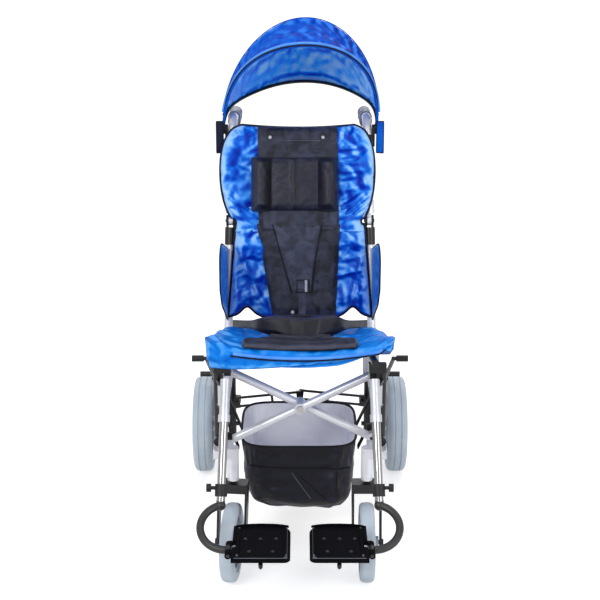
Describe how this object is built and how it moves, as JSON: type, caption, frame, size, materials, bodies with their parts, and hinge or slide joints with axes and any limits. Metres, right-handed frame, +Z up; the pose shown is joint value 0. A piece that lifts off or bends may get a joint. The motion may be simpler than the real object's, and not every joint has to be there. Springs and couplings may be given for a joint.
{
  "type": "special needs buggy",
  "caption": "Folding push chair with a tilted padded seat, half-folding back, canopy, swing-away legrests, caster wheels, brakes and a storage bag on a cross-braced tube frame.",
  "frame": {"origin": "middle of the bounding box on the floor", "axes": "+Z up, -Y to the front where the footplates are, +X to the right as seen from the front"},
  "size_m": [0.576, 1.0564, 1.2031],
  "materials": {
    "silver_paint": "silver powder coat",
    "chrome": "polished",
    "black_metal": "black paint",
    "black_plastic": "satin",
    "blue_cloth": "coated nylon",
    "black_cloth": "woven mesh",
    "tyre": "grey solid rubber",
    "hub_plastic": "satin"
  },
  "bodies": {
    "left_frame": {"left_lower_rail": "silver_paint", "left_front_post": "silver_paint", "left_rear_post": "silver_paint", "left_side_rail": "silver_paint", "left_lower_cane": "silver_paint", "left_cane_hinge": "black_plastic", "left_caster_housing": "silver_paint", "left_side_panel": "blue_cloth", "lower_back": "blue_cloth", "storage_bag": "black_cloth"},
    "right_frame": {"right_lower_rail": "silver_paint", "right_front_post": "silver_paint", "right_rear_post": "silver_paint", "right_side_rail": "silver_paint", "right_lower_cane": "silver_paint", "right_cane_hinge": "black_plastic", "right_caster_housing": "silver_paint", "right_side_panel": "blue_cloth"},
    "cross_arm_a": {"cross_arm_a": "silver_paint", "cross_bolt": "black_metal"},
    "cross_arm_b": {"cross_arm_b": "silver_paint"},
    "seat_rail_left": {"left_seat_rail": "silver_paint", "seat_cushion": "blue_cloth", "seat_insert": "black_cloth", "lap_belt": "black_cloth"},
    "seat_rail_right": {"right_seat_rail": "silver_paint"},
    "left_upper_back": {"left_upper_cane": "silver_paint", "left_push_grip": "black_plastic", "left_canopy_clamp": "black_plastic", "upper_back": "blue_cloth", "headrest": "black_cloth"},
    "right_upper_back": {"right_upper_cane": "silver_paint", "right_push_grip": "black_plastic", "right_canopy_clamp": "black_plastic"},
    "canopy": {"canopy_skin": "blue_cloth", "canopy_frame": "black_metal"},
    "left_caster": {"left_caster_fork": "black_metal"},
    "left_caster_wheel": {"left_caster_hub": "hub_plastic", "left_caster_tyre": "tyre"},
    "left_rear_wheel": {"left_rear_hub": "hub_plastic", "left_rear_tyre": "tyre"},
    "left_brake": {"left_brake_lever": "black_metal", "left_brake_grip": "black_plastic"},
    "left_legrest": {"left_legrest_hanger": "silver_paint"},
    "left_leg": {"left_leg_tube": "chrome", "left_leg_clamp": "black_plastic"},
    "left_foot": {"left_footplate": "black_plastic"},
    "left_stay": {"left_rear_stay": "black_metal"},
    "right_caster": {"right_caster_fork": "black_metal"},
    "right_caster_wheel": {"right_caster_hub": "hub_plastic", "right_caster_tyre": "tyre"},
    "right_rear_wheel": {"right_rear_hub": "hub_plastic", "right_rear_tyre": "tyre"},
    "right_brake": {"right_brake_lever": "black_metal", "right_brake_grip": "black_plastic"},
    "right_legrest": {"right_legrest_hanger": "silver_paint"},
    "right_leg": {"right_leg_tube": "chrome", "right_leg_clamp": "black_plastic"},
    "right_foot": {"right_footplate": "black_plastic"},
    "right_stay": {"right_rear_stay": "black_metal"}
  },
  "joints": [
    {"name": "fold", "type": "hinge", "parent": "left_frame", "child": "cross_arm_a", "pos_m": [-0.165, -0.16018, 0.285], "axis": [0, -1, 0], "range_deg": [0, 42], "deforming": ["seat_cushion", "seat_insert", "lap_belt", "lower_back", "upper_back", "headrest", "canopy_skin", "canopy_frame", "storage_bag"]},
    {"name": "arm_cross", "type": "hinge", "parent": "cross_arm_a", "child": "cross_arm_b", "pos_m": [0, -0.14819, 0.367], "axis": [0, -1, 0], "range_deg": [-84, 0]},
    {"name": "right_frame_level", "type": "hinge", "parent": "cross_arm_b", "child": "right_frame", "pos_m": [0.165, -0.13619, 0.285], "axis": [0, -1, 0], "range_deg": [0, 42]},
    {"name": "left_seat_level", "type": "hinge", "parent": "cross_arm_b", "child": "seat_rail_left", "pos_m": [-0.165, -0.13619, 0.449], "axis": [0, -1, 0], "range_deg": [0, 42]},
    {"name": "right_seat_level", "type": "hinge", "parent": "cross_arm_a", "child": "seat_rail_right", "pos_m": [0.165, -0.16018, 0.449], "axis": [0, -1, 0], "range_deg": [-42, 0]},
    {"name": "left_half_fold", "type": "hinge", "parent": "left_frame", "child": "left_upper_back", "pos_m": [-0.1713, 0.21158, 0.715], "axis": [-1, 0, 0], "range_deg": [0, 95]},
    {"name": "right_half_fold", "type": "hinge", "parent": "right_frame", "child": "right_upper_back", "pos_m": [0.1713, 0.21158, 0.715], "axis": [-1, 0, 0], "range_deg": [0, 95]},
    {"name": "canopy_tilt", "type": "hinge", "parent": "left_upper_back", "child": "canopy", "pos_m": [0, 0.27259, 0.935], "axis": [1, 0, 0], "range_deg": [0, 45]},
    {"name": "left_swivel", "type": "hinge", "parent": "left_frame", "child": "left_caster", "pos_m": [-0.15, -0.24319, 0.26], "axis": [0, 0, 1], "continuous": true},
    {"name": "left_caster_roll", "type": "hinge", "parent": "left_caster", "child": "left_caster_wheel", "pos_m": [-0.15366, -0.27799, 0.089], "axis": [0.9945, -0.1045, 0], "continuous": true},
    {"name": "left_rear_roll", "type": "hinge", "parent": "left_frame", "child": "left_rear_wheel", "pos_m": [-0.256, 0.32182, 0.127], "axis": [1, 0, 0], "continuous": true},
    {"name": "left_brake_turn", "type": "hinge", "parent": "left_frame", "child": "left_brake", "pos_m": [-0.216, 0.17681, 0.312], "axis": [-1, 0, 0], "range_deg": [0, 19]},
    {"name": "left_legrest_swing", "type": "hinge", "parent": "left_frame", "child": "left_legrest", "pos_m": [-0.172, -0.22818, 0.425], "axis": [0, 0, -1], "range_deg": [0, 80]},
    {"name": "left_leg_slide", "type": "slide", "parent": "left_legrest", "child": "left_leg", "axis": [0.03, 0.4575, 0.8887], "range_m": [0, 0.06]},
    {"name": "left_foot_flip", "type": "hinge", "parent": "left_leg", "child": "left_foot", "pos_m": [-0.15, -0.46483, 0.17002], "axis": [0, -1, 0], "range_deg": [0, 84]},
    {"name": "left_stay_rise", "type": "hinge", "parent": "left_frame", "child": "left_stay", "pos_m": [-0.168, 0.29181, 0.2], "axis": [0, -1, 0], "range_deg": [0, 60]},
    {"name": "right_swivel", "type": "hinge", "parent": "right_frame", "child": "right_caster", "pos_m": [0.15, -0.24319, 0.26], "axis": [0, 0, 1], "continuous": true},
    {"name": "right_caster_roll", "type": "hinge", "parent": "right_caster", "child": "right_caster_wheel", "pos_m": [0.15, -0.27819, 0.089], "axis": [1, 0, 0], "continuous": true},
    {"name": "right_rear_roll", "type": "hinge", "parent": "right_frame", "child": "right_rear_wheel", "pos_m": [0.256, 0.32182, 0.127], "axis": [1, 0, 0], "continuous": true},
    {"name": "right_brake_turn", "type": "hinge", "parent": "right_frame", "child": "right_brake", "pos_m": [0.216, 0.17681, 0.312], "axis": [-1, 0, 0], "range_deg": [0, 19]},
    {"name": "right_legrest_swing", "type": "hinge", "parent": "right_frame", "child": "right_legrest", "pos_m": [0.172, -0.22818, 0.425], "axis": [0, 0, 1], "range_deg": [0, 80]},
    {"name": "right_leg_slide", "type": "slide", "parent": "right_legrest", "child": "right_leg", "axis": [-0.03, 0.4575, 0.8887], "range_m": [0, 0.06]},
    {"name": "right_foot_flip", "type": "hinge", "parent": "right_leg", "child": "right_foot", "pos_m": [0.15, -0.46483, 0.17002], "axis": [0, 1, 0], "range_deg": [0, 84]},
    {"name": "right_stay_rise", "type": "hinge", "parent": "right_frame", "child": "right_stay", "pos_m": [0.168, 0.30382, 0.2], "axis": [0, 1, 0], "range_deg": [0, 60]}
  ],
  "couplings": [
    {"joint": "arm_cross", "follows": "fold", "ratio": -2},
    {"joint": "right_frame_level", "follows": "fold", "ratio": 1},
    {"joint": "left_seat_level", "follows": "fold", "ratio": 1},
    {"joint": "right_seat_level", "follows": "fold", "ratio": -1},
    {"joint": "right_half_fold", "follows": "left_half_fold", "ratio": 1},
    {"joint": "left_foot_flip", "follows": "fold", "ratio": 2},
    {"joint": "left_stay_rise", "follows": "fold", "ratio": 1.414},
    {"joint": "right_foot_flip", "follows": "fold", "ratio": 2},
    {"joint": "right_stay_rise", "follows": "fold", "ratio": 1.414}
  ]
}
